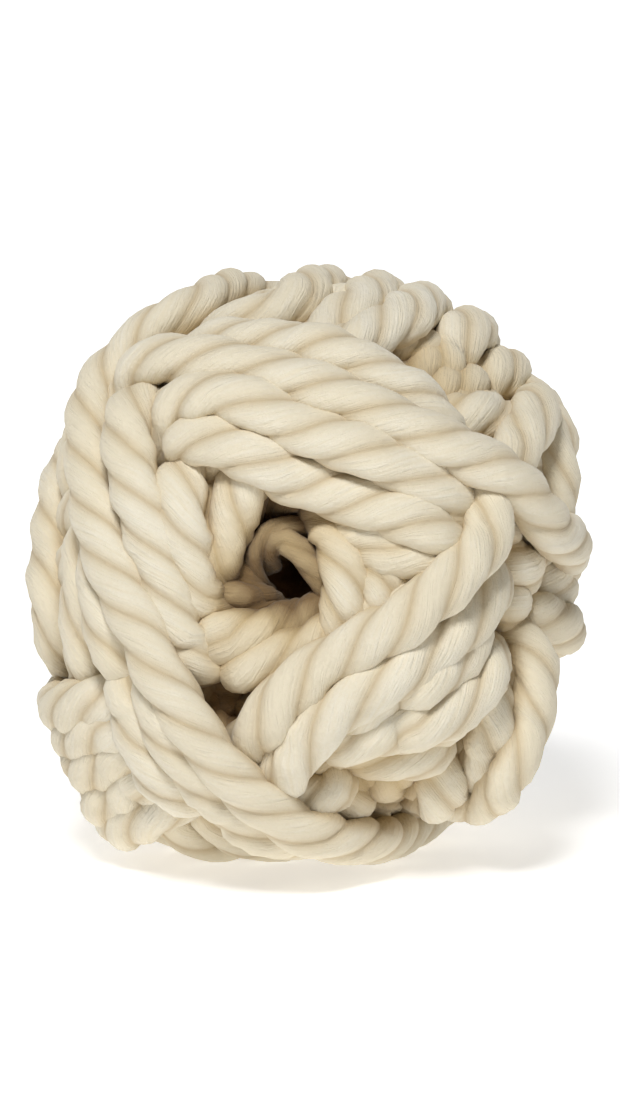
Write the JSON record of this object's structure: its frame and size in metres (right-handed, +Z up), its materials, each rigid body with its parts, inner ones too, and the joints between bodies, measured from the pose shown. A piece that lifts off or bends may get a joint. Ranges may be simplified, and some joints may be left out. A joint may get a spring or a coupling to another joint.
{
  "type": "ball of cotton twine",
  "caption": "Hand-sized ball of thick twisted cotton twine, wound in crossing turns round an open centre eye, resting on a small flat spot.",
  "frame": {"origin": "middle of the bounding box's footprint, level with the flat spot that the ball rests on", "axes": "+Z up; the eye of the ball faces -Y and ten degrees up; +X to the right of someone who looks at the eye"},
  "size_m": [0.1013, 0.0975, 0.1097],
  "materials": {
    "cotton": "soft matte natural cotton, unbleached cream"
  },
  "bodies": {
    "root": {"ball": "cotton"}
  },
  "joints": []
}
